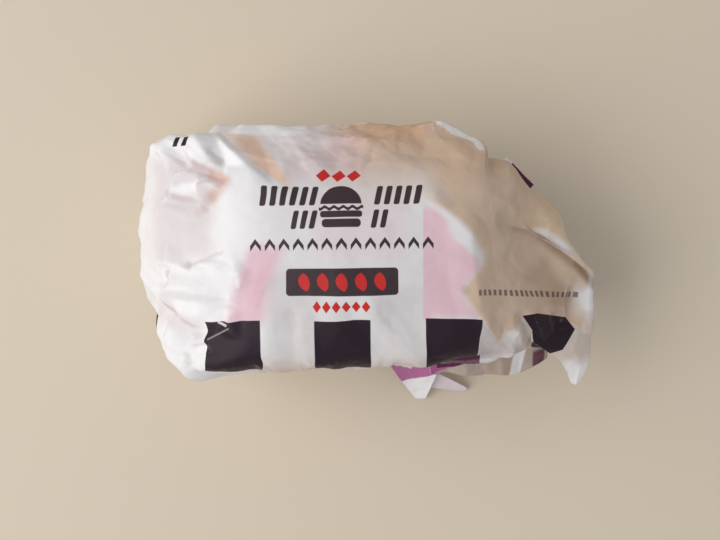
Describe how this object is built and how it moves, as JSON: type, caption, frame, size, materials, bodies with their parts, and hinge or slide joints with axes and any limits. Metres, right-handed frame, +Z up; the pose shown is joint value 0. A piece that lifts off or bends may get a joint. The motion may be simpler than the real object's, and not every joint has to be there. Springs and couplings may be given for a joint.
{
  "type": "wrapped chicken burger",
  "caption": "Chicken burger shut in printed food paper, a soft rounded parcel with folded ends, a pinched ear at one corner and loose paper tails in front",
  "frame": {"origin": "middle of the bounding box at table level, under the resting parcel", "axes": "+X along the long side to the right of the upright label, +Y towards the top of the label, +Z up out of the table"},
  "size_m": [0.1331, 0.0842, 0.0655],
  "materials": {
    "printed_paper": "soft, thin greaseproof food paper, faint sheen"
  },
  "bodies": {
    "root": {"wrapped_burger": "printed_paper"}
  },
  "joints": []
}
